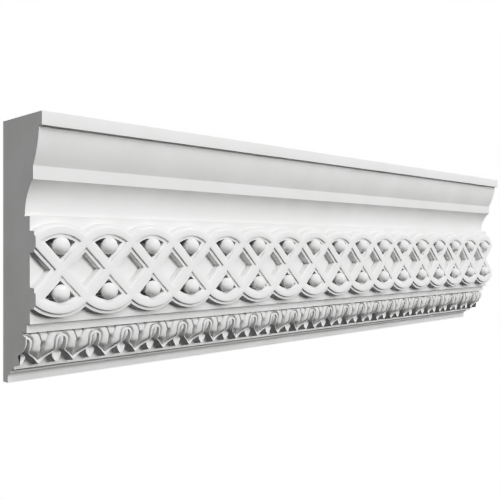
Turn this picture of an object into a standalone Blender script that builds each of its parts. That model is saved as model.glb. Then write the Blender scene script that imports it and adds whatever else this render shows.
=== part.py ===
"""Ornamental cornice: one cast length of wall moulding, cut square at both ends.

The length runs along X, the wall is the plane y = 0 and the ornament faces -Y.
The origin is the middle of the back face. All sizes are in metres. An "out" is a
distance from the wall, and a "drop" is measured down from the top of its member.
"""
import math

import bmesh
import bpy

# overall
LENGTH = 1.0

# plain members, from the top down
TOP_FILLET_OUT = 0.0854
TOP_FILLET_HEIGHT = 0.0143
OVOLO_TOP_OUT = 0.0797
OVOLO_HEIGHT = 0.0389
OVOLO_BULGE = 0.0022
UPPER_FASCIA_OUT = 0.0673
UPPER_FASCIA_HEIGHT = 0.0141
COVE_TOP_OUT = 0.0666
COVE_BOTTOM_OUT = 0.0498
COVE_HEIGHT = 0.0368
FRIEZE_OUT = 0.0604
FRIEZE_HEIGHT = 0.1108
LOWER_FASCIA_OUT = 0.0537
LOWER_FASCIA_HEIGHT = 0.0095
LEAF_GROUND_OUT = 0.0265
LEAF_BAND_HEIGHT = 0.0406
LISTEL_OUT = 0.0170
LISTEL_CHAMFER_HEIGHT = 0.0030
LISTEL_HEIGHT = 0.0025
BASE_OUT = 0.0113
BASE_CHAMFER_HEIGHT = 0.0020
BASE_HEIGHT = 0.0088

# knotwork on the frieze
KNOT_COUNT = 17
RIBBON_WIDTH = 0.0158
RIBBON_RISE = 0.0093
BAND_WIDTH = 0.0092
BAND_RISE = 0.0032
BAND_SHOULDER = 0.0012
BAND_CROWN = 0.0005
POCKET_OUT = 0.0360

# pearls in the knotwork
PEARL_RADIUS = 0.0094
PEARL_OUT = 0.0704
PEARL_OFFSET = 0.0248

# leaf band
LEAF_COUNT = 24
LEAF_OUT = 0.0518
LEAF_TIP_OUT = 0.0382
LEAF_CREST_DROP = 0.0061
LEAF_TIP_DROP = 0.0358
LEAF_GROOVE = 0.0016
LOOP_RADIUS = 0.0083
LOOP_RIBBON = 0.0037
LOOP_CENTRE_DROP = 0.0113
LOOP_FOOT_HALF_WIDTH = 0.0052
LOOP_FOOT_DROP = 0.0224
LOOP_SWEEP_DEGREES = 95.0
LEG_RIBBON = 0.0020
STROKE_BEND_DISTANCE = 0.0146
STROKE_BEND_DROP = 0.0293
STROKE_WIDTH = 0.0010
STROKE_TIP_WIDTH = 0.0048
LEAF_CURVE = 1.2

# buds between the leaves
BUD_OUT = 0.0507
BUD_TIP_OUT = 0.0387
BUD_TOP_DROP = 0.0056
BUD_TOP_HALF_WIDTH = 0.0012
BUD_SHOULDER_DROP = 0.0100
BUD_HALF_WIDTH = 0.0022
BUD_NECK_DROP = 0.0222
BUD_NECK_HALF_WIDTH = 0.0021
DART_HALF_WIDTH = 0.0058
DART_SHOULDER_DROP = 0.0246
DART_TIP_DROP = 0.0345
DART_POINT_HALF_WIDTH = 0.0010
BUD_FOOT_DROP = 0.0286
BUD_CURVE = 1.4

# how far the pearls and buds run back into the body
ROOT_DEPTH = 0.0035

# facets of the round forms
OVOLO_STEPS = 6
COVE_STEPS = 8
ARC_STEPS = 5
PEARL_SIDES = 8
PEARL_RING_DEGREES = (38.0, 74.0)
LOOP_STEPS = 3
SMOOTH_BELOW_DEGREES = 50.0

# points nearer than this are one point
WELD_DISTANCE = 0.000005


def total_height():
    """Sum of the heights of all members."""
    upper = TOP_FILLET_HEIGHT + OVOLO_HEIGHT + UPPER_FASCIA_HEIGHT + COVE_HEIGHT
    middle = FRIEZE_HEIGHT + LOWER_FASCIA_HEIGHT + LEAF_BAND_HEIGHT
    lower = LISTEL_CHAMFER_HEIGHT + LISTEL_HEIGHT + BASE_CHAMFER_HEIGHT + BASE_HEIGHT
    return upper + middle + lower


def frieze_top():
    """Height of the top edge of the frieze above the origin."""
    above = TOP_FILLET_HEIGHT + OVOLO_HEIGHT + UPPER_FASCIA_HEIGHT + COVE_HEIGHT
    return total_height() / 2 - above


def frieze_middle():
    """Height of the middle line of the knotwork."""
    return frieze_top() - FRIEZE_HEIGHT / 2


def leaf_top():
    """Height of the top edge of the leaf band."""
    return frieze_top() - FRIEZE_HEIGHT - LOWER_FASCIA_HEIGHT


def bulged_arc(start, end, bulge, steps):
    """Points of a circular arc from start to end that bulges outwards by the given rise."""
    chord_out = end[0] - start[0]
    chord_z = end[1] - start[1]
    chord = math.hypot(chord_out, chord_z)
    radius = (chord * chord / 4 + bulge * bulge) / (2 * bulge)
    half = math.asin(chord / 2 / radius)
    normal = (-chord_z / chord, chord_out / chord)
    points = []
    for step in range(steps + 1):
        angle = half * (2 * step / steps - 1)
        along = radius * math.sin(angle) / chord + 0.5
        rise = radius * (math.cos(angle) - math.cos(half))
        out = start[0] + chord_out * along + normal[0] * rise
        z = start[1] + chord_z * along + normal[1] * rise
        points.append((out, z))
    return points


def hollow_arc(start, end, steps):
    """Points of a hollow arc from start down to end, upright where it ends."""
    depth = start[0] - end[0]
    height = start[1] - end[1]
    radius = (depth * depth + height * height) / (2 * depth)
    sweep = math.asin(height / radius)
    points = []
    for step in range(steps + 1):
        angle = sweep * (1 - step / steps)
        out = end[0] + radius * (1 - math.cos(angle))
        points.append((out, end[1] + radius * math.sin(angle)))
    return points


def upper_profile():
    """Section from the top of the wall face down to the step over the frieze."""
    top = total_height() / 2
    fillet_foot = top - TOP_FILLET_HEIGHT
    ovolo_foot = fillet_foot - OVOLO_HEIGHT
    fascia_foot = ovolo_foot - UPPER_FASCIA_HEIGHT
    points = [(0.0, top), (TOP_FILLET_OUT, top), (TOP_FILLET_OUT, fillet_foot)]
    ovolo_start = (OVOLO_TOP_OUT, fillet_foot)
    ovolo_end = (UPPER_FASCIA_OUT, ovolo_foot)
    points += bulged_arc(ovolo_start, ovolo_end, OVOLO_BULGE, OVOLO_STEPS)
    points.append((UPPER_FASCIA_OUT, fascia_foot))
    cove_start = (COVE_TOP_OUT, fascia_foot)
    cove_end = (COVE_BOTTOM_OUT, frieze_top())
    points += hollow_arc(cove_start, cove_end, COVE_STEPS)
    return points


def lower_profile():
    """Section from the foot of the leaf band round the base to the wall face."""
    foot = leaf_top() - LEAF_BAND_HEIGHT
    listel_top = foot - LISTEL_CHAMFER_HEIGHT
    listel_foot = listel_top - LISTEL_HEIGHT
    base_top = listel_foot - BASE_CHAMFER_HEIGHT
    bottom = base_top - BASE_HEIGHT
    points = [(LISTEL_OUT, listel_top), (LISTEL_OUT, listel_foot)]
    points += [(BASE_OUT, base_top), (BASE_OUT, bottom), (0.0, bottom)]
    return points


def long_row(bm, out, z):
    """Two points of a straight edge that runs the whole length."""
    left = bm.verts.new((-LENGTH / 2, -out, z))
    right = bm.verts.new((LENGTH / 2, -out, z))
    return [left, right]


def row(bm, points):
    """Vertices for a list of (x, out, z) points."""
    return [bm.verts.new((x, -out, z)) for x, out, z in points]


def strip(bm, first, second):
    """Four-sided faces between two rows of the same length."""
    for index in range(len(first) - 1):
        corners = (first[index], first[index + 1], second[index + 1], second[index])
        bm.faces.new(corners)


def join_rows(bm, first, second):
    """One flat face between two straight rows of different lengths."""
    bm.faces.new(first + second[::-1])


def knot_pitch():
    """Length of one repeat of the knotwork."""
    return LENGTH / KNOT_COUNT


def ribbon_section():
    """Section of half a ribbon as (distance from its centre line, out) pairs."""
    border_out = FRIEZE_OUT + RIBBON_RISE
    shoulder = BAND_WIDTH / 2 - BAND_SHOULDER
    points = [(0.0, border_out + BAND_RISE)]
    points.append((shoulder, border_out + BAND_RISE - BAND_CROWN))
    points.append((BAND_WIDTH / 2, border_out))
    points.append((RIBBON_WIDTH / 2, border_out))
    return points


def scallop_points(offset, out, side):
    """Edge of the knotwork towards the top (side 1) or the bottom (side -1)."""
    pitch = knot_pitch()
    radius = pitch / math.sqrt(2) + offset
    half = math.asin(pitch / 2 / radius)
    points = []
    for knot in range(KNOT_COUNT):
        centre = (knot + 0.5) * pitch - LENGTH / 2
        for step in range(ARC_STEPS):
            angle = half * (2 * step / ARC_STEPS - 1)
            x = centre + radius * math.sin(angle)
            z = frieze_middle() + side * radius * math.cos(angle)
            points.append((x, out, z))
    end_z = frieze_middle() + side * radius * math.cos(half)
    points.append((LENGTH / 2, out, end_z))
    return points


def pocket_points(knot, offset, out, side):
    """Closed loop round a pearl's pocket: an arc and a right-angled corner."""
    pitch = knot_pitch()
    centre = (knot + 0.5) * pitch - LENGTH / 2
    radius = pitch / math.sqrt(2) - offset
    reach = math.sqrt(radius * radius - offset * offset)
    half = math.asin((reach - offset) / math.sqrt(2) / radius)
    points = []
    for step in range(ARC_STEPS + 1):
        angle = half * (2 * step / ARC_STEPS - 1)
        x = centre + radius * math.sin(angle)
        z = frieze_middle() + side * radius * math.cos(angle)
        points.append((x, out, z))
    corner_z = frieze_middle() + side * math.sqrt(2) * offset
    points.append((centre, out, corner_z))
    points.append(points[0])
    return points


def diamond_points(knot, offset, out):
    """Loop round a diamond, or round half a diamond at an end of the length."""
    x = knot * knot_pitch() - LENGTH / 2
    middle = frieze_middle()
    half = knot_pitch() / 2 - math.sqrt(2) * offset
    top = (x, out, middle + half)
    right = (x + half, out, middle)
    bottom = (x, out, middle - half)
    left = (x - half, out, middle)
    if knot == 0:
        return [top, right, bottom]
    if knot == KNOT_COUNT:
        return [bottom, left, top]
    return [top, right, bottom, left, top]


def ribbon_rows(bm, outline, floor_out):
    """Half ribbon that follows an outline, with its wall down to the floor."""
    section = ribbon_section()
    section.append((RIBBON_WIDTH / 2, floor_out))
    rows = [row(bm, outline(offset, out)) for offset, out in section]
    for index in range(len(rows) - 1):
        strip(bm, rows[index], rows[index + 1])
    return rows[-1]


def scallop_edge(bm, side):
    """Outer half of the knotwork and the frieze ground beside it."""
    def outline(offset, out):
        return scallop_points(offset, out, side)

    foot = ribbon_rows(bm, outline, FRIEZE_OUT)
    edge_z = frieze_middle() + side * FRIEZE_HEIGHT / 2
    edge_points = []
    for knot in range(KNOT_COUNT + 1):
        edge_points.append((knot * knot_pitch() - LENGTH / 2, FRIEZE_OUT, edge_z))
    edge = row(bm, edge_points)
    for knot in range(KNOT_COUNT):
        first = knot * ARC_STEPS
        ground = foot[first:first + ARC_STEPS + 1]
        bm.faces.new(ground + [edge[knot + 1], edge[knot]])
    return edge


def pocket(bm, knot, side):
    """One pearl's pocket with the ribbons round it."""
    def outline(offset, out):
        return pocket_points(knot, offset, out, side)

    foot = ribbon_rows(bm, outline, POCKET_OUT)
    bm.faces.new(foot[:-1])


def diamond(bm, knot):
    """One diamond of the frieze ground with the ribbons round it."""
    def outline(offset, out):
        return diamond_points(knot, offset, out)

    foot = ribbon_rows(bm, outline, FRIEZE_OUT)
    if knot in (0, KNOT_COUNT):
        bm.faces.new(foot)
    else:
        bm.faces.new(foot[:-1])


def leaf_pitch():
    """Length of one repeat of the leaf band."""
    return LENGTH / LEAF_COUNT


def reversed_curve(drop, start, end, power):
    """Share left of an S-shaped fall between two drops: 1 above it and 0 below it."""
    part = (drop - start) / (end - start)
    part = min(max(part, 0.0), 1.0) ** power
    return 0.5 + 0.5 * math.cos(math.pi * part)


def leaf_out(drop):
    """Front of the leaves: round above and hollow below."""
    share = reversed_curve(drop, LEAF_CREST_DROP, LEAF_TIP_DROP, LEAF_CURVE)
    return LEAF_TIP_OUT + (LEAF_OUT - LEAF_TIP_OUT) * share


def bud_out(drop):
    """Front of the buds, which fall back earlier than the leaves."""
    share = reversed_curve(drop, BUD_TOP_DROP, BUD_FOOT_DROP, BUD_CURVE)
    return BUD_TIP_OUT + (BUD_OUT - BUD_TIP_OUT) * share


def leaf_edge(inset):
    """Half a leaf's edge as (distance from the loop's axis, drop) pairs.

    It runs from the crown of the loop down its leg and along the lower stroke to
    the leaf's tip. The inset is 0 at the opening and 1 at the groove behind the
    raised ribbon.
    """
    half_pitch = leaf_pitch() / 2
    radius = LOOP_RADIUS - LOOP_RIBBON * (1 - inset)
    points = []
    for step in range(LOOP_STEPS):
        angle = math.radians(LOOP_SWEEP_DEGREES) * step / (LOOP_STEPS - 1)
        drop = LOOP_CENTRE_DROP - radius * math.cos(angle)
        points.append((radius * math.sin(angle), drop))
    foot = LOOP_FOOT_HALF_WIDTH + LEG_RIBBON * inset
    points.append((foot, LOOP_FOOT_DROP - STROKE_WIDTH * inset))
    bend_width = (STROKE_WIDTH + STROKE_TIP_WIDTH) / 2
    bend = STROKE_BEND_DISTANCE + LEG_RIBBON / 2 * inset
    points.append((bend, STROKE_BEND_DROP - bend_width * inset))
    points.append((half_pitch, LEAF_TIP_DROP - STROKE_TIP_WIDTH * inset))
    return points


def lobe_far_edge():
    """Top line and middle line of half a leaf, matched to the points of its edge."""
    half_pitch = leaf_pitch() / 2
    tip_drop = leaf_edge(1.0)[-1][1]
    points = [(0.0, 0.0), (LOOP_RADIUS, 0.0), (half_pitch, 0.0)]
    points.append((half_pitch, LOOP_CENTRE_DROP))
    points.append((half_pitch, LOOP_FOOT_DROP))
    points.append((half_pitch, tip_drop))
    return points


def between(first, second, share):
    """Points part of the way from one row to another."""
    points = []
    for start, end in zip(first, second):
        across = start[0] + (end[0] - start[0]) * share
        drop = start[1] + (end[1] - start[1]) * share
        points.append((across, drop))
    return points


def half_leaf_rows():
    """Rows of half a leaf as (distance, drop, sink below the leaf's front)."""
    opening = leaf_edge(0.0)
    groove = leaf_edge(1.0)
    far = lobe_far_edge()
    crest = between(groove, far, 0.5)
    rows = [[(across, drop, 0.0) for across, drop in opening]]
    rows.append([(across, drop, LEAF_GROOVE) for across, drop in groove])
    rows.append([(across, drop, 0.0) for across, drop in crest[:-1]])
    rows[-1].append((crest[-1][0], crest[-1][1], LEAF_GROOVE))
    sinks = [LEAF_GROOVE, LEAF_GROOVE, 0.0, 0.0, LEAF_GROOVE, LEAF_GROOVE]
    rows.append([(point[0], point[1], sink) for point, sink in zip(far, sinks)])
    return rows


def place_leaf_row(axis, side, points):
    """Points of one row set to the right (side 1) or left (side -1) of a loop."""
    placed = []
    for across, drop, sink in points:
        z = leaf_top() - drop
        placed.append((axis + side * across, leaf_out(drop) - sink, z))
    return placed


def half_leaf(bm, axis, side):
    """Half a leaf with the wall from its edge back to the ground."""
    rows = [row(bm, place_leaf_row(axis, side, points)) for points in half_leaf_rows()]
    for index in range(len(rows) - 1):
        strip(bm, rows[index], rows[index + 1])
    foot_points = []
    for across, drop in leaf_edge(0.0):
        x = axis + side * across
        foot_points.append((x, LEAF_GROUND_OUT, leaf_top() - drop))
    foot = row(bm, foot_points)
    strip(bm, rows[0], foot)
    foot_z = leaf_top() - LEAF_BAND_HEIGHT
    corner_points = [(axis, LEAF_GROUND_OUT, foot_z)]
    corner_points.append((axis + side * leaf_pitch() / 2, LEAF_GROUND_OUT, foot_z))
    corners = row(bm, corner_points)
    bm.faces.new(foot + corners[::-1])


def leaf_step(bm):
    """Underside of the lower fascia, back to the top of the leaves."""
    fascia = long_row(bm, LOWER_FASCIA_OUT, leaf_top())
    far = half_leaf_rows()[-1][:3]
    points = []
    for leaf in range(LEAF_COUNT):
        axis = leaf * leaf_pitch() - LENGTH / 2
        points += place_leaf_row(axis, 1, far)
        points += place_leaf_row(axis + leaf_pitch(), -1, far)[1:2]
    points += place_leaf_row(LENGTH / 2, -1, far[:1])
    join_rows(bm, fascia, row(bm, points))


def leaf_band(bm):
    """All leaves and the ground under them."""
    leaf_step(bm)
    for leaf in range(LEAF_COUNT):
        axis = leaf * leaf_pitch() - LENGTH / 2
        half_leaf(bm, axis, 1)
        half_leaf(bm, axis + leaf_pitch(), -1)


def knotwork(bm):
    """The whole frieze, returned as its top and bottom edges."""
    top_edge = scallop_edge(bm, 1)
    bottom_edge = scallop_edge(bm, -1)
    for knot in range(KNOT_COUNT):
        pocket(bm, knot, 1)
        pocket(bm, knot, -1)
    for knot in range(KNOT_COUNT + 1):
        diamond(bm, knot)
    return top_edge, bottom_edge


def plain_members(bm, top_edge, bottom_edge):
    """Straight members above and below the frieze, and the wall face."""
    upper = [long_row(bm, out, z) for out, z in upper_profile()]
    for index in range(len(upper) - 1):
        strip(bm, upper[index], upper[index + 1])
    join_rows(bm, upper[-1], top_edge)
    fascia_top = long_row(bm, LOWER_FASCIA_OUT, leaf_top() + LOWER_FASCIA_HEIGHT)
    fascia_foot = long_row(bm, LOWER_FASCIA_OUT, leaf_top())
    join_rows(bm, fascia_top, bottom_edge)
    strip(bm, fascia_top, fascia_foot)
    foot_points = []
    for half in range(2 * LEAF_COUNT + 1):
        x = half * leaf_pitch() / 2 - LENGTH / 2
        foot_points.append((x, LEAF_GROUND_OUT, leaf_top() - LEAF_BAND_HEIGHT))
    lower = [long_row(bm, out, z) for out, z in lower_profile()]
    join_rows(bm, lower[0], row(bm, foot_points))
    for index in range(len(lower) - 1):
        strip(bm, lower[index], lower[index + 1])
    strip(bm, lower[-1], upper[0])


def close_ends(bm):
    """Flat faces on the two cut ends."""
    bmesh.ops.remove_doubles(bm, verts=bm.verts, dist=WELD_DISTANCE)
    open_edges = [edge for edge in bm.edges if edge.is_boundary]
    bmesh.ops.holes_fill(bm, edges=open_edges, sides=0)
    bmesh.ops.recalc_face_normals(bm, faces=bm.faces)


def pearl(bm, x, z):
    """A pearl with a round front, running straight back into its pocket's floor."""
    middle = 1.0 / (2 * PEARL_SIDES)
    rings = []
    for angle in PEARL_RING_DEGREES:
        radius = PEARL_RADIUS * math.sin(math.radians(angle))
        out = PEARL_OUT + PEARL_RADIUS * math.cos(math.radians(angle))
        rings.append((radius, out))
    rings.append((rings[-1][0], POCKET_OUT - ROOT_DEPTH))
    loops = []
    for radius, out in rings:
        points = []
        for side in range(PEARL_SIDES):
            turn = 2 * math.pi * (side / PEARL_SIDES + middle)
            points.append((x + radius * math.cos(turn), out, z + radius * math.sin(turn)))
        loops.append(row(bm, points))
    for index in range(len(loops) - 1):
        first = loops[index] + loops[index][:1]
        second = loops[index + 1] + loops[index + 1][:1]
        strip(bm, first, second)
    tip = bm.verts.new((x, -(PEARL_OUT + PEARL_RADIUS), z))
    for side in range(PEARL_SIDES):
        bm.faces.new((tip, loops[0][side], loops[0][(side + 1) % PEARL_SIDES]))
    bm.faces.new(loops[-1])


def bud_levels():
    """Half widths of a bud as (drop, half width) pairs, from its top to the dart's tip."""
    levels = [(BUD_TOP_DROP, BUD_TOP_HALF_WIDTH)]
    levels.append((BUD_SHOULDER_DROP, BUD_HALF_WIDTH))
    levels.append((BUD_NECK_DROP, BUD_NECK_HALF_WIDTH))
    levels.append((DART_SHOULDER_DROP, DART_HALF_WIDTH))
    levels.append((DART_TIP_DROP, DART_POINT_HALF_WIDTH))
    return levels


def bud(bm, axis, left, right):
    """A flat-fronted bud and its dart; left or right is 0 where the end cuts it off."""
    back = LEAF_GROUND_OUT - ROOT_DEPTH
    rows = []
    for drop, half_width in bud_levels():
        z = leaf_top() - drop
        front = bud_out(drop)
        start = axis - half_width * left
        end = axis + half_width * right
        corners = [(start, back, z), (start, front, z), (end, front, z), (end, back, z)]
        rows.append(row(bm, corners))
    for index in range(len(rows) - 1):
        first = rows[index] + rows[index][:1]
        second = rows[index + 1] + rows[index + 1][:1]
        strip(bm, first, second)
    bm.faces.new(rows[0])
    bm.faces.new(rows[-1])


def new_object(name, bm):
    """Object in the scene from a finished mesh."""
    bmesh.ops.recalc_face_normals(bm, faces=bm.faces)
    mesh = bpy.data.meshes.new(name)
    bm.to_mesh(mesh)
    bm.free()
    mesh.shade_smooth()
    mesh.set_sharp_from_angle(angle=math.radians(SMOOTH_BELOW_DEGREES))
    item = bpy.data.objects.new(name, mesh)
    bpy.context.scene.collection.objects.link(item)
    return item


def cornice_body():
    """The moulding with its knotwork and leaves, one closed body."""
    bm = bmesh.new()
    top_edge, bottom_edge = knotwork(bm)
    plain_members(bm, top_edge, bottom_edge)
    leaf_band(bm)
    close_ends(bm)
    return new_object("cornice", bm)


def pearls_and_buds():
    """Guide with the pearls and buds that the body takes in."""
    bm = bmesh.new()
    for knot in range(KNOT_COUNT):
        x = (knot + 0.5) * knot_pitch() - LENGTH / 2
        pearl(bm, x, frieze_middle() + PEARL_OFFSET)
        pearl(bm, x, frieze_middle() - PEARL_OFFSET)
    for leaf in range(LEAF_COUNT + 1):
        axis = leaf * leaf_pitch() - LENGTH / 2
        left = 0 if leaf == 0 else 1
        right = 0 if leaf == LEAF_COUNT else 1
        bud(bm, axis, left, right)
    guide = new_object("pearls_and_buds", bm)
    guide.hide_render = True
    guide.display_type = "WIRE"
    return guide


def plaster():
    """Matt white plaster."""
    material = bpy.data.materials.new("plaster")
    material.use_nodes = True
    shader = material.node_tree.nodes["Principled BSDF"]
    shader.inputs["Base Color"].default_value = (0.84, 0.835, 0.82, 1.0)
    shader.inputs["Roughness"].default_value = 0.85
    shader.inputs["Metallic"].default_value = 0.0
    return material


def clear_scene():
    """Empty the scene."""
    for item in list(bpy.data.objects):
        bpy.data.objects.remove(item, do_unlink=True)


def build():
    clear_scene()
    body = cornice_body()
    guide = pearls_and_buds()
    union = body.modifiers.new("pearls and buds", "BOOLEAN")
    union.operation = "UNION"
    union.solver = "EXACT"
    union.object = guide
    body.data.materials.append(plaster())


build()
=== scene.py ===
# %% [markdown]
# # A cast plaster cornice
#
# The object is one length of ornamental wall cornice: a single casting in white
# gypsum plaster, with plain running members, a frieze of interlaced ribbons set with
# pearls, and a lower band of leaves with buds between them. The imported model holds
# its true outline and the main carving in flat facets. This file makes the fine
# surface: rounded ribbons, round pearls, the folds of the leaves, and the plaster.
#
# Lengths in the cells are millimetres, because the ornament is a few millimetres
# deep. They become metres once, when the mesh is made. Three words are used all
# through: x runs along the length, "out" is the distance from the wall, and z is the
# height above the middle of the back. On the leaves, "drop" is the distance below the
# top of their band.

# %% Load the model and keep its box
import math

import bmesh
import bpy
import numpy as np
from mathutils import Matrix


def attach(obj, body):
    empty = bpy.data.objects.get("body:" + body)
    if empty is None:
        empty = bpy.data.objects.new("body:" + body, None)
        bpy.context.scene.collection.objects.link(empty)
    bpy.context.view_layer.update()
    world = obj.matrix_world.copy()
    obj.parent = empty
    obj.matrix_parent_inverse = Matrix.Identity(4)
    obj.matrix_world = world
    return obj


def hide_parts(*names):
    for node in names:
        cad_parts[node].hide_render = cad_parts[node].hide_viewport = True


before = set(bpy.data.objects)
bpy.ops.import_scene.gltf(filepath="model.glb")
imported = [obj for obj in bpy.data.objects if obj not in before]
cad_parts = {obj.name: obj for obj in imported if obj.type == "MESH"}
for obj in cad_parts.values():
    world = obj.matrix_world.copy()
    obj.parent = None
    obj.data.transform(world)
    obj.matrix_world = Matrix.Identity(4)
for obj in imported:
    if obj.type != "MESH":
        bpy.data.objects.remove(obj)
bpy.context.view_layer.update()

# %% [markdown]
# ## Overall sizes
#
# A cornice is drawn as a section first: a plasterer cuts that section in sheet metal
# and runs it along the bench. The heights below are the section's, from the top
# fillet down to the plain base, and the two ornaments are counted in whole repeats so
# that a length can be butted against the next one. Levels and repeats all follow from
# these few numbers, and finer sizes are given where they are first used.

# %% Sizes
LENGTH = 1000.0
TOP = 140.65
HEAD_HEIGHT = 104.1
FRIEZE_HEIGHT = 110.8
FASCIA_HEIGHT = 9.5
LEAF_BAND = 40.6
FRIEZE_OUT = 60.4
FASCIA_OUT = 53.7
GROUND_OUT = 26.5
KNOTS = 17
LEAVES = 24

FRIEZE_TOP = TOP - HEAD_HEIGHT
FRIEZE_MIDDLE = FRIEZE_TOP - FRIEZE_HEIGHT / 2
LEAF_TOP = FRIEZE_TOP - FRIEZE_HEIGHT - FASCIA_HEIGHT
LEAF_FOOT = LEAF_TOP - LEAF_BAND
PITCH = LENGTH / KNOTS
LEAF_PITCH = LENGTH / LEAVES
ENDS = np.array([-0.5, 0.5]) * LENGTH
print("knot repeat", round(PITCH, 2), "mm, leaf repeat", round(LEAF_PITCH, 2), "mm")

# %% [markdown]
# ## How the surfaces are put together
#
# Each part of the surface is a grid: a table of points with rows and columns, worked
# out for all repeats at once. The grids meet edge to edge, so their shared points can
# be welded at the end and the casting comes out as one closed skin. Separate bodies
# pushed into each other would be quicker to make, but would leave hard joints all
# over. Only the pearls and the buds are closed forms of their own, set a little way
# into the ground. Flat ground with an odd outline is one many-sided face.

# %% Grids and flat faces
patches = []


def keep(points, faces):
    """Store a patch: points as an array of triples, faces as an array of point numbers."""
    patches.append((np.asarray(points, dtype=float).reshape(-1, 3), faces))


def grid_faces(rows, columns):
    """Four corners of every cell: a point, its right neighbour and the two below."""
    number = np.arange(rows * columns).reshape(rows, columns)
    corners = (number[:-1, :-1], number[:-1, 1:], number[1:, 1:], number[1:, :-1])
    return np.stack(corners, axis=-1).reshape(-1, 4)


def keep_grids(points):
    """Store many grids of one shape, given as copies x rows x columns x 3."""
    copies, rows, columns = points.shape[:3]
    one = grid_faces(rows, columns)
    shift = np.arange(copies)[:, None, None] * rows * columns
    keep(points, (one[None] + shift).reshape(-1, 4))


def keep_flats(points):
    """Store many flat faces, given as copies x corners x 3."""
    copies, corners = points.shape[:2]
    keep(points, np.arange(copies * corners).reshape(copies, corners))


def place(x, out, z):
    """Points from arrays of x, out and z: the ornament faces -Y, so y is minus out."""
    return np.stack(np.broadcast_arrays(x, -np.asarray(out, dtype=float), z), axis=-1)


def smooth_step(value, start, end):
    """0 before start, 1 after end, and the curve 3t^2 - 2t^3 between them."""
    part = np.clip((value - start) / (end - start), 0.0, 1.0)
    return part * part * (3.0 - 2.0 * part)


print("a 3 x 3 grid has", len(grid_faces(3, 3)), "cells")

# %% [markdown]
# ## The ribbon's section
#
# Every ribbon of the knotwork has the same section: a raised round-shouldered band
# along the middle, a flat border on each side, and a steep wall down to the ground.
# The section is a list of pairs, the distance from the ribbon's centre line and the
# height. A mould has to be drawn off the casting, so the wall leans out a little. The
# small round arris where border and wall meet is modelled, because it catches the
# thin line of light that a sharp corner would lose.

# %% Half a ribbon's section
RIBBON_TOP = 72.9
BORDER_OUT = 69.7
BAND_HALF = 4.6
RIBBON_HALF = 7.9
WALL_LEAN = 0.45
ARRIS = 0.35
SHOULDER = 0.8
CROWN = 0.5
BORDER_DIP = 0.05
DIP_WIDTH = 0.3


def half_ribbon(floor_out):
    """Distance and height: a crowned band, a quarter ellipse, a border, an arris, a wall.

    The crown falls with the square of the distance. The shoulder is a quarter of an
    ellipse from the crown's edge down to the border. The arris is a quarter circle.
    """
    crown = np.linspace(0.0, BAND_HALF - SHOULDER, 4)
    crown_out = RIBBON_TOP - CROWN * (crown / (BAND_HALF - SHOULDER)) ** 2
    turn = np.radians([22.5, 45.0, 67.5, 90.0])
    round_across = BAND_HALF - SHOULDER + SHOULDER * np.sin(turn)
    round_out = BORDER_OUT + (crown_out[-1] - BORDER_OUT) * np.cos(turn)
    border = np.array([BAND_HALF + DIP_WIDTH, RIBBON_HALF - ARRIS])
    border_out = np.array([BORDER_OUT - BORDER_DIP, BORDER_OUT])
    turn = np.radians([30.0, 60.0, 90.0])
    arris_across = RIBBON_HALF - ARRIS + ARRIS * np.sin(turn)
    arris_out = BORDER_OUT - ARRIS + ARRIS * np.cos(turn)
    across = np.concatenate((crown, round_across, border, arris_across))
    out = np.concatenate((crown_out, round_out, border_out, arris_out))
    across = np.append(across, RIBBON_HALF + WALL_LEAN)
    return across, np.append(out, floor_out)


print("points across half a ribbon:", len(half_ribbon(FRIEZE_OUT)[0]))

# %% [markdown]
# ## The knotwork
#
# Two rows of ribbons bend round circles and cross on the middle line at right
# angles. They could be swept along curves and joined, but the crossings would need
# mending by hand. A line at a constant distance from a ribbon's centre line is again
# an arc or a straight line, so the whole relief can be laid out in such offset lines:
# outside arcs along the top and bottom edges, a loop of one arc and two straight sides
# round each pearl, and a square round each diamond of ground. Where two ribbons cross,
# the offset lines meet on the mitre, and the ribbons stand at one height.

# %% Setting out the knots
ROOT_TWO = math.sqrt(2.0)
KNOT_RADIUS = PITCH / ROOT_TWO
POCKET_OUT = 36.0
ARC_POINTS = 21
ARC = np.linspace(-1.0, 1.0, ARC_POINTS)
KNOT_MIDDLES = (np.arange(KNOTS) + 0.5) * PITCH - LENGTH / 2
KNOT_JOINTS = np.arange(KNOTS + 1) * PITCH - LENGTH / 2
print("ribbons bend round a radius of", round(KNOT_RADIUS, 1), "mm")


# %% Outer edges of the frieze
def scallops(side):
    """Outer half of the curved ribbons; side is 1 at the top and -1 at the bottom.

    A row at distance d from the centre line is an arc of radius R + d about the
    crossing, cut where it meets the next arc, half a repeat away.
    """
    across, out = half_ribbon(FRIEZE_OUT)
    radius = KNOT_RADIUS + across
    angle = np.arcsin(PITCH / 2 / radius)[:, None] * ARC
    x = KNOT_MIDDLES[:, None, None] + radius[:, None] * np.sin(angle)
    z = FRIEZE_MIDDLE + side * radius[:, None] * np.cos(angle)
    points = place(x, out[:, None], z[None])
    keep_grids(points)
    foot = points[:, -1]
    corner_x = KNOT_MIDDLES[:, None] + np.array([0.5, -0.5]) * PITCH
    corner_z = FRIEZE_MIDDLE + side * FRIEZE_HEIGHT / 2
    corners = place(corner_x, FRIEZE_OUT, corner_z)
    keep_flats(np.concatenate((foot, corners), axis=1))


for edge in (1, -1):
    scallops(edge)
print("points in the outer edges:", sum(len(points) for points, faces in patches))


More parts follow.
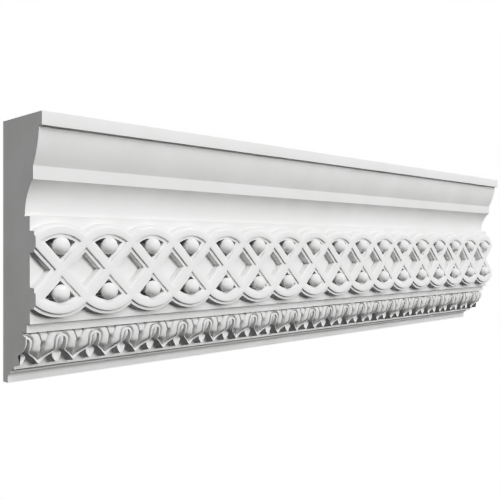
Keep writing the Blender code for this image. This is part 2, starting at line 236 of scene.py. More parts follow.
# %% Pockets and diamonds
def pockets(side):
    """Ribbons round each pearl: an arc of radius R - d and a corner at d times root 2."""
    across, out = half_ribbon(POCKET_OUT)
    radius = KNOT_RADIUS - across
    reach = np.sqrt(radius ** 2 - across ** 2)
    half = np.arcsin((reach - across) / ROOT_TWO / radius)
    angle = half[:, None] * ARC
    x = radius[:, None] * np.sin(angle)
    z = radius[:, None] * np.cos(angle)
    corner_z = ROOT_TWO * across[:, None]
    x = np.concatenate((x, np.zeros_like(corner_z), x[:, :1]), axis=1)
    z = np.concatenate((z, corner_z, z[:, :1]), axis=1)
    middle_x = KNOT_MIDDLES[:, None, None]
    points = place(middle_x + x, out[:, None], FRIEZE_MIDDLE + side * z[None])
    keep_grids(points)
    keep_flats(points[:, -1, :-1])


def diamonds():
    """Squares of ground on their corners, with a half diagonal of half a repeat less
    d times root 2; the two at the ends are cut in half."""
    across, out = half_ribbon(FRIEZE_OUT)
    half = PITCH / 2 - ROOT_TWO * across[:, None]
    x = half * np.array([0.0, 1.0, 0.0, -1.0, 0.0])
    z = FRIEZE_MIDDLE + half * np.array([1.0, 0.0, -1.0, 0.0, 1.0])
    whole = place(KNOT_JOINTS[1:-1, None, None] + x, out[:, None], z[None])
    keep_grids(whole)
    keep_flats(whole[:, -1, :-1])
    left = place(x[:, :3] - LENGTH / 2, out[:, None], z[:, :3])[None]
    right = place(x[:, 2:] + LENGTH / 2, out[:, None], z[:, 2:])[None]
    for cut in (left, right):
        keep_grids(cut)
        keep_flats(cut[:, -1])


for edge in (1, -1):
    pockets(edge)
diamonds()
print("knotwork points:", sum(len(points) for points, faces in patches))

# %% [markdown]
# ## Pearls
#
# A pearl fills each pocket nearly from side to side. It is a ball on a short neck: a
# flexible mould lets the plaster keep a round back, and the dark gap round the pearl
# comes from that undercut. A ready-made sphere would do for the front, but rings that
# run on into a neck give the root as well, in the same grid.

# %% Pearls
PEARL_RADIUS = 9.4
PEARL_OUT = 70.4
PEARL_OFFSET = 24.8
PEARL_SIDES = 28
PEARL_RINGS = 14
NECK_DEGREES = 145.0
EMBED = 0.5


def pearls():
    """Balls: ring radius r sin(a), height r cos(a), then a straight neck to the floor.

    The neck goes on into the plaster behind the floor, where it is closed.
    """
    angle = np.radians(np.linspace(0.0, NECK_DEGREES, PEARL_RINGS))
    ring = PEARL_RADIUS * np.sin(angle)
    ring = np.append(ring, (ring[-1], 0.0))
    root = POCKET_OUT - EMBED
    out = np.append(PEARL_OUT + PEARL_RADIUS * np.cos(angle), (root, root))
    turn = np.linspace(0.0, 2.0 * math.pi, PEARL_SIDES + 1)
    x = ring[:, None] * np.cos(turn)
    z = ring[:, None] * np.sin(turn)
    for side in (1, -1):
        middle = FRIEZE_MIDDLE + side * PEARL_OFFSET
        keep_grids(place(KNOT_MIDDLES[:, None, None] + x, out[:, None], middle + z[None]))


pearls()
proud = PEARL_OUT + PEARL_RADIUS - RIBBON_TOP
print("pearls stand", round(proud, 1), "mm in front of the ribbons")

# %% [markdown]
# ## The leaf band
#
# The band is a row of loops over buds. Beside each loop a leaf falls away on both
# sides to a centre line, where its lower edge comes to a point. Half a leaf is worked
# out once, from the loop's axis to the leaf's centre line, and mirrored. Three lines
# rule it: the edge of the loop's opening, the groove behind the raised ribbon, and
# the line where the rounded lobe ends at the middle of the leaf. A fourth is the foot
# of the wall round the opening. A carver sets the same lines out before cutting. All
# have the same number of points, so that rows of the surface can be laid between them.

# %% Smooth lines
HALF = LEAF_PITCH / 2
LOOP_DROP = 11.3
LEAF_STEPS = 32
TOP_STEPS = 12
ALONG = np.linspace(0.0, 1.0, LEAF_STEPS + 1)


def through(points, parts):
    """Smooth line through points, read at places from 0 (first) to 1 (last).

    Between two points it is a cubic, with the slope at each point equal to half the
    step from the point before to the point after.
    """
    points = np.asarray(points, dtype=float)
    ends = np.vstack((2 * points[0] - points[1], points, 2 * points[-1] - points[-2]))
    slope = (ends[2:] - ends[:-2]) / 2
    spot = np.clip(parts, 0.0, 1.0) * (len(points) - 1)
    index = np.minimum(spot.astype(int), len(points) - 2)
    t = (spot - index)[:, None]
    from_first = 2 * t ** 3 - 3 * t ** 2 + 1
    from_second = 3 * t ** 2 - 2 * t ** 3
    leaving, arriving = t ** 3 - 2 * t ** 2 + t, t ** 3 - t ** 2
    line = from_first * points[index] + leaving * slope[index]
    return line + from_second * points[index + 1] + arriving * slope[index + 1]


print("a line has", len(ALONG), "points")


# %% Lines of half a leaf
def ruling_line(radius, foot, bend, tip_drop):
    """Loop arc, leg and lower stroke as ten points, with a smooth line through them.

    The arc has its centre on the loop's axis at LOOP_DROP. The leg goes down to the
    foot, and the stroke through the bend to the tip on the leaf's centre line.
    """
    angle = np.radians(np.linspace(0.0, 90.0, 5))
    arc = np.stack((radius * np.sin(angle), LOOP_DROP - radius * np.cos(angle)), axis=1)
    foot, bend = np.asarray(foot), np.asarray(bend)
    leg = np.stack(((arc[-1] + foot) / 2, foot))
    stroke = np.stack(((foot + bend) / 2, bend, (HALF, tip_drop)))
    return through(np.vstack((arc, leg, stroke)), ALONG)


opening = ruling_line(radius=4.6, foot=(5.2, 22.4), bend=(14.6, 29.3), tip_drop=35.8)
wall_foot = ruling_line(radius=3.6, foot=(3.8, 23.6), bend=(13.5, 31.1), tip_drop=37.9)
groove = ruling_line(radius=8.3, foot=(7.2, 21.7), bend=(15.6, 27.0), tip_drop=30.9)
LOBE_END = [(0.0, 0.0), (5.0, 0.0), (9.5, 0.0), (14.0, 0.0), (17.2, 7.0), (19.1, 11.5),
            (20.0, 16.5), (19.9, 23.5), (HALF, 29.5)]
lobe_end = through(LOBE_END, ALONG)
lobe_end[:TOP_STEPS + 1, 1] = 0.0
centre_line = np.stack((np.full(LEAF_STEPS + 1, HALF), lobe_end[:, 1]), axis=1)
print("stroke is", round(opening[-1, 1] - groove[-1, 1], 2), "mm high at the leaf's point")

# %% [markdown]
# ## The relief of a leaf
#
# Seen from the side, the front of the leaves is an S: round and forward above,
# hollow and set back below. Everything else is cut down from that front, as a carver
# works. The groove behind the raised ribbon gets much deeper behind the lower stroke.
# At the middle of the leaf a shallow groove beside the three-cornered field becomes a
# deep cleft below it. Each depth is written as a number and a span, the stretch over
# which it comes in, so that one depth can be changed without moving the others.

# %% Front and depths
FRONT = [(-1.0, 51.2), (3.0, 51.7), (7.5, 51.8), (12.0, 51.2), (16.6, 49.8), (21.1, 47.4),
         (25.1, 43.2), (29.1, 39.7), (32.5, 38.6), (36.6, 38.2)]
TOP_FALL, TOP_SPAN = 5.0, (0.4, 2.3)
CREASE = 5.5
SLIT, SLIT_SPAN = 11.5, (0.58, 0.72)
EDGE_GROOVE, EDGE_SPAN = 4.2, (0.30, 0.37)
NOTCH, NOTCH_START, NOTCH_END = 1.6, (0.34, 0.38), (0.40, 0.46)
CLEFT, CLEFT_SPAN = 10.5, (0.61, 0.70)


def leaf_front(drop):
    """S-shaped front read from the smooth line through FRONT, turned in at the very top."""
    line = through(FRONT, np.linspace(0.0, 1.0, 200))
    fall = TOP_FALL * (1.0 - smooth_step(drop, *TOP_SPAN))
    return np.interp(drop, line[:, 0], line[:, 1]) - fall


def rows_between(first, second, shares):
    """Rows of points part of the way from one line to another, as rows x points x 2.

    The shares are one number for each row, or rows x points where they vary along it.
    """
    share = shares[..., None] if shares.ndim == 2 else shares[:, None, None]
    return first[None] + (second - first)[None] * share


slit = smooth_step(ALONG, *SLIT_SPAN)
crease = CREASE + (SLIT - CREASE) * slit
notch = smooth_step(ALONG, *NOTCH_START) * (1.0 - smooth_step(ALONG, *NOTCH_END))
cleft = EDGE_GROOVE * smooth_step(ALONG, *EDGE_SPAN)
cleft = cleft + NOTCH * notch
cleft = cleft + (CLEFT - EDGE_GROOVE) * smooth_step(ALONG, *CLEFT_SPAN)
print("crease", crease[0], "to", crease[-1], "mm deep, cleft", cleft[-1], "mm")

# %% [markdown]
# ## The raised ribbon
#
# A narrow ribbon borders the loop and runs on as the lower stroke. Its section is
# given as shares of the way from the opening's edge to the groove, with the depth at
# each, so the ribbon keeps its form while its width changes. Rounding it with a
# bevel would thin the narrow strokes to nothing. Along the lower stroke it is tilted,
# with its edge forward, which gives the V its bright lip.

# %% Raised ribbon
RIBBON_SHARES = np.array([0.0, 0.05, 0.13, 0.28, 0.44, 0.57, 0.66, 0.73, 0.78, 1.0])
RIBBON_ROUND = np.array([0.42, 0.14, 0.02, 0.0, 0.04, 0.16, 0.40, 0.85])
WALL_FOOT_SHARE = 0.94
LIP, LIP_SPAN = 0.8, (0.55, 0.7)

ribbon = rows_between(opening, groove, RIBBON_SHARES)
ribbon_rows = RIBBON_ROUND[:, None] * np.ones_like(crease)
ribbon_sink = np.vstack((ribbon_rows, WALL_FOOT_SHARE * crease, crease))
ribbon_front = leaf_front((opening[:, 1] + groove[:, 1]) / 2)
lip = LIP * (0.5 - RIBBON_SHARES[:, None]) * smooth_step(ALONG, *LIP_SPAN)
ribbon_out = ribbon_front + lip - ribbon_sink
print("ribbon is", round(float(np.hypot(*(groove - opening)[0])), 1), "mm wide at the loop")

# %% [markdown]
# ## The lobe
#
# Between the two grooves the leaf swells to a lobe. It is a rounded bar whose crest
# follows the front, and whose sides go down to the flat floors of the grooves. The
# rows are set close together at both sides, where the surface turns fastest. Over the
# loop two lobes meet in a shallow valley, and near the point they dive a little.

# %% Lobe
GROOVE_FLOOR, SLIT_FLOOR, FLOOR_LIMIT = 0.9, 1.2, 0.35
CLEFT_FLOOR, CLEFT_FLOOR_SPAN = 0.35, (0.34, 0.40)
LOBE_ROWS = 17
UPPER_SIDE, LOWER_SIDE, SIDE_SPAN = 4.5, 4.0, (0.56, 0.68)
CLEFT_SIDE = 2.6
DIVE, DIVE_SPAN = 1.2, (19.0, 30.0)
CROWN_VALLEY, VALLEY_SPAN = 3.2, (4.0, 6.5)


def bar_fall(share, power):
    """How far a rounded bar has fallen from its crest: 1 - (1 - v^p)^(1/p).

    v is the distance from the middle of the bar, 0 in the middle and 1 at its sides.
    A power p of 2 gives a half circle, and a larger one a flatter bar with steep sides.
    """
    v = np.clip(np.abs(2.0 * share - 1.0), 0.0, 1.0)
    return 1.0 - (1.0 - v ** power) ** (1.0 / power)


width = np.hypot(*(lobe_end - groove).T)
near_floor = GROOVE_FLOOR + (SLIT_FLOOR - GROOVE_FLOOR) * slit
near_floor = np.minimum(near_floor / width, FLOOR_LIMIT)
far_floor = CLEFT_FLOOR * smooth_step(ALONG, *CLEFT_FLOOR_SPAN) / width
bar = (0.5 - 0.5 * np.cos(np.linspace(0.0, math.pi, LOBE_ROWS)))[:, None]
lobe_shares = near_floor + (1.0 - near_floor - far_floor) * bar
lobe_shares = np.vstack((np.zeros_like(ALONG), lobe_shares, np.ones_like(ALONG)))
lobe = rows_between(groove, lobe_end, lobe_shares)

across_bar = np.vstack((0.0, bar, 1.0))
near_power = UPPER_SIDE + (LOWER_SIDE - UPPER_SIDE) * smooth_step(ALONG, *SIDE_SPAN)
fall = bar_fall(across_bar, np.where(across_bar < 0.5, near_power, CLEFT_SIDE))
side_depth = np.where(across_bar < 0.5, crease, cleft)
dive = DIVE * smooth_step(lobe[..., 1], *DIVE_SPAN)
lobe_sink = dive * (1.0 - fall) + side_depth * fall
valley = CROWN_VALLEY * (1.0 - smooth_step(lobe[..., 0], *VALLEY_SPAN))
lobe_sink = np.maximum(lobe_sink, valley)
lobe_out = leaf_front(lobe[..., 1]) - lobe_sink
lobe_out[0] = ribbon_out[-1]
print("lobe is", round(float(width.max()), 1), "mm across at its widest")

# %% [markdown]
# ## The middle of the leaf
#
# At the top of the middle line, between two lobes, lies a flat three-cornered field.
# Below it the cleft is open to its floor, and from the point of the leaf a thin rib
# climbs in it. All three come from one grid between the lobe's end and the centre
# line, because they share the same two edges: only the depth changes along it.

# %% Field, cleft and rib
FIELD_SHARES = np.array([0.0, 0.08, 0.18, 0.5, 1.0])
FIELD_SINK, FIELD_SPAN, FIELD_EDGE = 0.7, (9.0, 12.5), (0.06, 0.2)
RIB_HEIGHT, RIB_SPAN, RIB_EDGE = 0.85, (20.0, 27.0), (0.0, 0.6)

field = rows_between(lobe_end, centre_line, FIELD_SHARES)[:, TOP_STEPS:]
inward = FIELD_SHARES[:, None]
flat = 1.0 - smooth_step(field[..., 1], *FIELD_SPAN)
rib = smooth_step(field[..., 1], *RIB_SPAN)
field_rise = smooth_step(inward, *FIELD_EDGE) * flat
field_rise = field_rise + smooth_step(inward, *RIB_EDGE) * RIB_HEIGHT * rib
field_sink = cleft[TOP_STEPS:] * (1.0 - field_rise) + FIELD_SINK * field_rise * flat
field_out = leaf_front(field[..., 1]) - field_sink
print("field is", round(2 * (HALF - field[0, 0, 0]), 1), "mm wide at the top")

# %% [markdown]
# ## Setting out the band
#
# The half leaf goes right and left of every loop's axis. Its wall runs back from the
# opening's edge to the ground and leans out a little, so that it leaves the mould. The
# ground is one flat face per half. Mirrored points are worked out with the rest
# instead of by a mirror modifier, so the halves share the same points and weld.

# %% Place the leaves
AXES = np.arange(LEAVES) * LEAF_PITCH - LENGTH / 2


def set_out(lines, out):
    """Put half-leaf rows right of each loop's axis and, mirrored, left of the next."""
    start, z = AXES[:, None, None], LEAF_TOP - lines[..., 1]
    right = place(start + lines[None, ..., 0], out, z)
    left = place(start + LEAF_PITCH - lines[None, ..., 0], out, z)
    return np.concatenate((right, left))


keep_grids(set_out(ribbon, ribbon_out))
keep_grids(set_out(lobe, lobe_out))
keep_grids(set_out(field, field_out))
wall = np.stack((opening, wall_foot))
wall_out = np.stack((ribbon_out[0], np.full_like(ribbon_out[0], GROUND_OUT)))
keep_grids(set_out(wall, wall_out))
ground = np.vstack((wall_foot, [(HALF, LEAF_BAND), (0.0, LEAF_BAND)]))[None]
keep_flats(set_out(ground, GROUND_OUT)[:, 0])
print("leaf band done:", len(patches), "patches")

# %% [markdown]
# ## Buds and darts
#
# Inside every loop stands a thin bud that opens below into a dart. Across, the bud
# is round and the dart is folded in along its middle, like a leaf that opens. Each is
# a closed form of its own, lofted from a table of levels and rooted a little way into
# the ground. A table is easier to shape than a formula here, because the outline
# swells, narrows and swells again. The dart's root is set lower than its front, so its
# lower sides lean out of the ground. At each cut end stands half a bud, a hair inside
# the cut.

# %% Buds
BUD_LEVELS = np.array([  # drop, half width, front at the middle line, rise of the sides
    (5.4, 0.9, 51.0, 0.0), (6.8, 1.8, 51.5, 0.0), (8.4, 2.3, 51.5, 0.0),
    (10.5, 2.5, 51.2, 0.0), (13.0, 2.5, 50.4, 0.0), (16.0, 2.5, 48.5, 0.0),
    (19.0, 2.4, 45.6, 0.0), (21.3, 2.3, 42.6, 0.0), (22.8, 2.5, 40.0, 0.2),
    (24.2, 3.8, 37.2, 2.0), (25.2, 5.0, 35.6, 3.6), (26.4, 5.7, 34.9, 4.4),
    (28.6, 5.2, 36.0, 3.0), (31.2, 3.8, 37.2, 1.6), (33.4, 2.2, 37.9, 0.8),
    (35.0, 0.4, 38.2, 0.3)])
BUD_COLUMNS = 9
BUD_ROUND, BUD_SPAN = 2.3, (22.0, 24.6)
DART_SPREAD, SPREAD_SPAN = 2.4, (22.0, 28.0)
END_GAP = 0.05


def buds():
    """Across each level p runs from -1 to 1: x is w p, and the front falls as an
    ellipse to the sides of the bud and as a valley to the middle of the dart."""
    drop, width, front, rise = BUD_LEVELS.T[:, :, None]
    across = np.sin(np.linspace(-0.5, 0.5, BUD_COLUMNS) * math.pi)
    bud = 1.0 - smooth_step(drop, *BUD_SPAN)
    fall = BUD_ROUND * bud * bar_fall((across + 1.0) / 2.0, 2.0)
    out = front - fall + rise * np.abs(across)
    x = width * across
    x = np.concatenate((-width, x, width, -width), axis=1)
    back = np.full_like(drop, GROUND_OUT - EMBED)
    out = np.concatenate((back, out, back, back), axis=1)
    z = np.repeat(LEAF_TOP - drop, x.shape[1], axis=1)
    z[:, [0, -2, -1]] -= DART_SPREAD * smooth_step(drop, *SPREAD_SPAN)
    whole = place(AXES[1:, None, None] + x, out, z)
    left = place(np.maximum(x, 0.0) + ENDS[0] + END_GAP, out, z)[None]
    right = place(np.minimum(x, 0.0) + ENDS[1] - END_GAP, out, z)[None]
    for group in (whole, left, right):
        keep_grids(group)
        keep_flats(group[:, 0, :-1])
        keep_flats(group[:, -1, :-1])


buds()
print("dart is", 2 * BUD_LEVELS[:, 1].max(), "mm wide")

# %% [markdown]
# ## The plain members
#
# Above and below the ornament the section runs on unbroken from end to end, so it is
# a profile carried along a straight line, as the plasterer's metal template does. Its
# corners are not knife edges: plaster edges are rounded by the mould and the brush,
# so both corners of the fillet and of the fascia and the base's lower corner are
# eased. From the top down come a fillet, a shallow ovolo, a fascia, a cove with a
# small quirk under it, and below the leaves a listel, whose face leans back to a
# hollow, and the base.

# %% Arcs and corners
CORNER = 0.5


def arc_between(start, end, bulge, steps):
    """Circular arc from start to end; bulge is its height over the chord, + outwards."""
    start, end = np.asarray(start, dtype=float), np.asarray(end, dtype=float)
    chord = np.hypot(*(end - start))
    radius = (chord ** 2 / 4 + bulge ** 2) / (2 * abs(bulge))
    half = math.asin(chord / 2 / radius)
    angle = half * np.linspace(-1.0, 1.0, steps + 1)
    along = radius * np.sin(angle) / chord + 0.5
    rise = radius * (np.cos(angle) - math.cos(half)) * math.copysign(1.0, bulge)
    normal = np.array([-(end - start)[1], (end - start)[0]]) / chord
    return start + (end - start) * along[:, None] + normal * rise[:, None]


def ease(points, corners):
    """Replace the numbered corners of a section by curves that touch both sides.

    Each curve is (1-t)^2 start + 2t(1-t) corner + t^2 end, with t from 0 to 1.
    """
    eased = []
    for index, point in enumerate(points):
        if index not in corners:
            eased.append(point[None])
            continue
        before = points[index - 1] - point
        after = points[index + 1] - point
        start = point + before / np.hypot(*before) * CORNER
        end = point + after / np.hypot(*after) * CORNER
        t = np.linspace(0.0, 1.0, 4)[:, None]
        eased.append((1 - t) ** 2 * start + 2 * t * (1 - t) * point + t ** 2 * end)
    return np.vstack(eased)


def run(section):
    """Carry a section along x from end to end, as one grid of two columns."""
    keep_grids(place(ENDS, section[:, :1], section[:, 1:])[None])


print("corners are eased over", CORNER, "mm")

# %% Section of the plain members
FILLET_OUT, FILLET_FOOT = 85.4, TOP - 14.3
OVOLO_OUT, OVOLO_FOOT_OUT, OVOLO_FOOT = 79.7, 67.3, TOP - 53.2
OVOLO_SWELL = 2.2
COVE_OUT, COVE_FOOT_OUT, COVE_TOP = 66.6, 49.8, TOP - 67.3
COVE_HOLLOW = 4.25
QUIRK = 1.0
LISTEL_OUT, LISTEL_TOP = 17.0, LEAF_FOOT - 3.0
LISTEL_FOOT_OUT, LISTEL_FOOT = 16.3, LEAF_FOOT - 5.2
BASE_OUT, BASE_TOP = 11.3, LEAF_FOOT - 11.4
BASE_HOLLOW = 1.9

ovolo = arc_between((OVOLO_OUT, FILLET_FOOT), (OVOLO_FOOT_OUT, OVOLO_FOOT),
                    OVOLO_SWELL, steps=10)
quirk_z, quirk_out = FRIEZE_TOP + QUIRK, COVE_FOOT_OUT - QUIRK
cove = arc_between((COVE_OUT, COVE_TOP), (COVE_FOOT_OUT, quirk_z), -COVE_HOLLOW, steps=14)
cove = np.vstack((cove, [(quirk_out, quirk_z), (quirk_out, FRIEZE_TOP)]))
fillet = [(0.0, TOP), (FILLET_OUT, TOP), (FILLET_OUT, FILLET_FOOT)]
head = np.vstack((fillet, ovolo, [(OVOLO_FOOT_OUT, COVE_TOP)], cove))
ovolo_end = len(fillet) + len(ovolo) - 1
head = ease(head, (1, 2, ovolo_end, ovolo_end + 1))
hollow = arc_between((LISTEL_FOOT_OUT, LISTEL_FOOT), (BASE_OUT, BASE_TOP),
                     -BASE_HOLLOW, steps=8)
foot = np.vstack(([(LISTEL_OUT, LISTEL_TOP)], hollow, [(BASE_OUT, -TOP), (0.0, -TOP)]))
foot = ease(foot, (len(foot) - 2,))
run(head)
run(foot)
run(np.array([(0.0, -TOP), (0.0, TOP)]))
run(np.array([(FASCIA_OUT, LEAF_TOP + FASCIA_HEIGHT), (FASCIA_OUT, LEAF_TOP)]))
print("section has", len(head) + len(foot), "points; foot at", foot[-1])

# %% [markdown]
# ## Joining the members to the ornament
#
# Four flat ledges close the skin: over and under the frieze, over the leaves, and
# from the leaf ground to the listel. Each is one face with a straight far side and
# the ornament's own points on the near side, so no filling is needed between them.


# %% Ledges
def ledge(straight_out, straight_z, near):
    """One flat face from a straight edge of full length to a row of points."""
    far = place(ENDS, straight_out, straight_z)
    keep_flats(np.concatenate((far, near[::-1]))[None])


frieze_foot = FRIEZE_TOP - FRIEZE_HEIGHT
ledge(quirk_out, FRIEZE_TOP, place(KNOT_JOINTS, FRIEZE_OUT, FRIEZE_TOP))
ledge(FASCIA_OUT, LEAF_TOP + FASCIA_HEIGHT, place(KNOT_JOINTS, FRIEZE_OUT, frieze_foot))
top_row = np.vstack((lobe_end[:TOP_STEPS], field[:, 0]))
top_out = np.concatenate((lobe_out[-1, :TOP_STEPS], field_out[:, 0]))
halves = set_out(top_row[None], top_out)[:, 0]
leaf_tops = np.concatenate((halves[:LEAVES], halves[LEAVES:, ::-1][:, 1:]), axis=1)
near = np.concatenate((leaf_tops[:, :-1].reshape(-1, 3), leaf_tops[-1, -1:]))
ledge(FASCIA_OUT, LEAF_TOP, near)
ground_x = np.arange(2 * LEAVES + 1) * HALF - LENGTH / 2
ledge(LISTEL_OUT, LISTEL_TOP, place(ground_x, GROUND_OUT, LEAF_FOOT))
print("patches:", len(patches))

# %% [markdown]
# ## One closed skin
#
# All patches are joined, their shared points welded, and the two cut ends closed with
# one flat face each, which is what a saw leaves. Faces then get their outward side,
# which is only sure once the skin is closed. Round forms are shaded smooth, and edges
# that turn by more than SMOOTH_DEGREES stay sharp.

# %% Make the casting
METRES = 0.001
WELD = 0.00001
SLIVER = 0.000002
SMOOTH_DEGREES = 40.0


def make_casting(name):
    """Join the patches in metres, weld, close the two ends and turn all faces out."""
    starts = np.cumsum([0] + [len(points) for points, faces in patches])
    points = np.concatenate([points for points, faces in patches]) * METRES
    faces = []
    for start, (_, group) in zip(starts, patches):
        faces += (start + group).tolist()
    mesh = bpy.data.meshes.new(name)
    mesh.from_pydata(points, [], faces)
    bm = bmesh.new()
    bm.from_mesh(mesh)
    bmesh.ops.remove_doubles(bm, verts=bm.verts, dist=WELD)
    bmesh.ops.dissolve_degenerate(bm, edges=bm.edges, dist=SLIVER)
    open_edges = [edge for edge in bm.edges if edge.is_boundary]
    print("open edges before the ends are closed:", len(open_edges))
    bmesh.ops.holes_fill(bm, edges=open_edges, sides=0)
    bmesh.ops.recalc_face_normals(bm, faces=bm.faces)
    print("open edges left:", sum(1 for edge in bm.edges if not edge.is_manifold))
    print("triangles:", sum(len(face.verts) - 2 for face in bm.faces))
    print("volume in litres:", round(bm.calc_volume() * 1000, 2))
    bm.to_mesh(mesh)
    bm.free()
    mesh.shade_smooth()
    mesh.set_sharp_from_angle(angle=math.radians(SMOOTH_DEGREES))
    piece = bpy.data.objects.new(name, mesh)
    bpy.context.scene.collection.objects.link(piece)
    return piece


casting = make_casting("cornice_casting")
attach(casting, "root")
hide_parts("cornice")
print("points in the casting:", len(casting.data.vertices))

# %% [markdown]
# ## Plaster
#
# Cast gypsum is matt and nearly white. Close up it is not one flat colour: it has
# faint clouds, some 70 mm across, where it dried unevenly, and a fine grain of about
# a millimetre. The clouds go into the colour, and the grain into the roughness and a
# shallow bump. Both patterns are worked out from the object's own coordinates, so
# they need no picture and run on round every corner.

# %% Plaster material
CLOUD_SCALE, CLOUD_DETAIL = 14.0, 4.0
GRAIN_SCALE, GRAIN_DETAIL = 900.0, 3.0
CLOUD_COLOURS = [(0.35, (0.80, 0.797, 0.79, 1.0)), (0.65, (0.845, 0.845, 0.842, 1.0))]
ROUGHNESS = (0.72, 0.9)
GRAIN_STRENGTH, GRAIN_HEIGHT = 0.25, 0.0002
SPECULAR = 0.25


def noise_pattern(tree, where, scale, detail):
    """Noise on Object coordinates: its features are about 1 / scale metres across."""
    node = tree.nodes.new("ShaderNodeTexNoise")
    node.inputs["Scale"].default_value = scale
    node.inputs["Detail"].default_value = detail
    tree.links.new(where.outputs["Object"], node.inputs["Vector"])
    return node


def plaster():
    """White gypsum: clouds as colour, and a fine grain as roughness and bump."""
    material = bpy.data.materials.new("plaster")
    material.use_nodes = True
    tree = material.node_tree
    nodes, links = tree.nodes, tree.links
    shader = nodes["Principled BSDF"]
    where = nodes.new("ShaderNodeTexCoord")
    clouds = noise_pattern(tree, where, CLOUD_SCALE, CLOUD_DETAIL)
    grain = noise_pattern(tree, where, GRAIN_SCALE, GRAIN_DETAIL)
    colour = nodes.new("ShaderNodeValToRGB")
    for stop, (position, shade) in zip(colour.color_ramp.elements, CLOUD_COLOURS):
        stop.position = position
        stop.color = shade
    links.new(clouds.outputs["Fac"], colour.inputs["Fac"])
    links.new(colour.outputs["Color"], shader.inputs["Base Color"])
    rough = nodes.new("ShaderNodeMapRange")
    rough.inputs["To Min"].default_value, rough.inputs["To Max"].default_value = ROUGHNESS
    links.new(grain.outputs["Fac"], rough.inputs["Value"])
    links.new(rough.outputs["Result"], shader.inputs["Roughness"])
    bump = nodes.new("ShaderNodeBump")
    bump.inputs["Strength"].default_value = GRAIN_STRENGTH
    bump.inputs["Distance"].default_value = GRAIN_HEIGHT
    links.new(grain.outputs["Fac"], bump.inputs["Height"])
    links.new(bump.outputs["Normal"], shader.inputs["Normal"])
    shader.inputs["Specular IOR Level"].default_value = SPECULAR
    return material


casting.data.materials.append(plaster())
print("plaster nodes:", len(casting.data.materials[0].node_tree.nodes))

# %% [markdown]
# ## Floor and backdrop
#
# The cornice is shown as on a wall, clear of the ground, in a plain white studio.
# Floor and backdrop shine evenly by themselves, so they show no shadow and look white
# from every side. The light that they give the piece stays low, as in a studio where
# the paper is lit apart from the subject. That keeps the pockets and the undersides
# dark, which is what draws white relief on a white ground.

# %% Floor and backdrop
PAPER = 1.0
AMBIENT = 0.085
FLOOR_REACH = 30.0
FLOOR_Z = -1.2


def paper(tree, kind, output):
    """White where the camera looks straight at it, and a faint even light for all else."""
    path = tree.nodes.new("ShaderNodeLightPath")
    strength = tree.nodes.new("ShaderNodeMapRange")
    strength.inputs["To Min"].default_value = AMBIENT
    strength.inputs["To Max"].default_value = PAPER
    shine = tree.nodes.new(kind)
    shine.inputs["Color"].default_value = (1.0, 1.0, 1.0, 1.0)
    tree.links.new(path.outputs["Is Camera Ray"], strength.inputs["Value"])
    tree.links.new(strength.outputs["Result"], shine.inputs["Strength"])
    tree.links.new(shine.outputs[0], tree.nodes[output].inputs["Surface"])


floor_points = [(-FLOOR_REACH, -FLOOR_REACH, FLOOR_Z), (FLOOR_REACH, -FLOOR_REACH, FLOOR_Z),
                (FLOOR_REACH, FLOOR_REACH, FLOOR_Z), (-FLOOR_REACH, FLOOR_REACH, FLOOR_Z)]
floor_mesh = bpy.data.meshes.new("studio_floor")
floor_mesh.from_pydata(floor_points, [], [(0, 1, 2, 3)])
floor = bpy.data.objects.new("studio_floor", floor_mesh)
bpy.context.scene.collection.objects.link(floor)
pale = bpy.data.materials.new("pale_floor")
pale.use_nodes = True
paper(pale.node_tree, "ShaderNodeEmission", "Material Output")
floor.data.materials.append(pale)

world = bpy.data.worlds.new("studio")
world.use_nodes = True
paper(world.node_tree, "ShaderNodeBackground", "World Output")
bpy.context.scene.world = world
print("floor at", FLOOR_Z, "m")

# %% [markdown]
# ## Tone
#
# The tone curve stands for the film: it says how bright each level of light is shown.
# The pairs are a level before the curve and after it. The darkest shades go down a
# little, the middle ones are lifted, and the top is held back, so that lit plaster
# stays a little below the white of the paper. A stronger light would do the same to
# the shadows as to the faces, and the curve parts the two.

# %% Tone curve
TONE = [(0.12, 0.085), (0.24, 0.225), (0.42, 0.485), (0.55, 0.655), (0.68, 0.775),
        (0.82, 0.85), (0.93, 0.92)]
COMBINED = 3

view = bpy.context.scene.view_settings
view.view_transform = "Standard"
view.use_curve_mapping = True
tone = view.curve_mapping.curves[COMBINED]
for level, shown in TONE:
    tone.points.new(level, shown)
view.curve_mapping.update()
print("tone curve points:", len(tone.points))

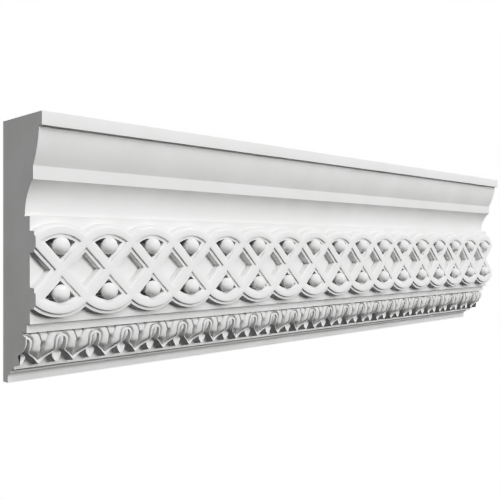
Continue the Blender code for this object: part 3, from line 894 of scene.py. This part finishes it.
# %% [markdown]
# ## Light
#
# White relief is drawn by its shadows alone. Three large soft lights stand high up, at
# the left, in front and at the right, and leave undersides and pockets in shade. The
# cut end faces away from most of them and stays grey. A fourth light in front, low
# and a little to the right, is the main one on the upright faces. The last stands
# behind and serves the back. All are far lights, so that the ornament is lit alike
# from end to end, and their wide spread gives the shadows soft edges.

# %% Lights
LIGHTS = [  # name, azimuth, elevation, strength, spread
    ("high_left", -75.0, 60.0, 1.05, 35.0),
    ("upper", -15.0, 40.0, 1.0, 35.0),
    ("high_right", 45.0, 40.0, 0.55, 35.0),
    ("front", 15.0, 12.0, 1.35, 24.0),
    ("back", 160.0, 35.0, 1.8, 40.0),
]


def soft_light(name, azimuth, elevation, strength, spread):
    """Far soft light: azimuth 0 is straight in front and + is to the right."""
    lamp = bpy.data.lights.new(name, "SUN")
    lamp.energy = strength
    lamp.angle = math.radians(spread)
    holder = bpy.data.objects.new(name, lamp)
    turn = math.radians(azimuth)
    holder.rotation_euler = (math.radians(90.0 - elevation), 0.0, turn)
    bpy.context.scene.collection.objects.link(holder)


for light in LIGHTS:
    soft_light(*light)
print("lights:", ", ".join(light[0] for light in LIGHTS))

# %% [markdown]
# ## Camera
#
# The camera looks level and at 45 degrees along the piece, from a little beyond its
# left end and 0.7 m away from it. The lines of the photograph give that: all upright
# ones are parallel, and the long ones close quickly. A small shift sets the height of
# the frame, where a tilt would make the uprights lean.

# %% Camera
CAMERA_PLACE = (-0.8364, -0.714, 0.00415)
CAMERA_TURN = -45.0
LENS, SENSOR = 49.46, 36.0
SHIFT = -0.0048

camera_data = bpy.data.cameras.new("camera")
camera_data.sensor_width = SENSOR
camera_data.lens = LENS
camera_data.shift_y = SHIFT
camera = bpy.data.objects.new("camera", camera_data)
camera.location = CAMERA_PLACE
camera.rotation_euler = (math.radians(90.0), 0.0, math.radians(CAMERA_TURN))
bpy.context.scene.collection.objects.link(camera)
bpy.context.scene.camera = camera
print("camera at", CAMERA_PLACE, "m with a lens of", LENS, "mm")
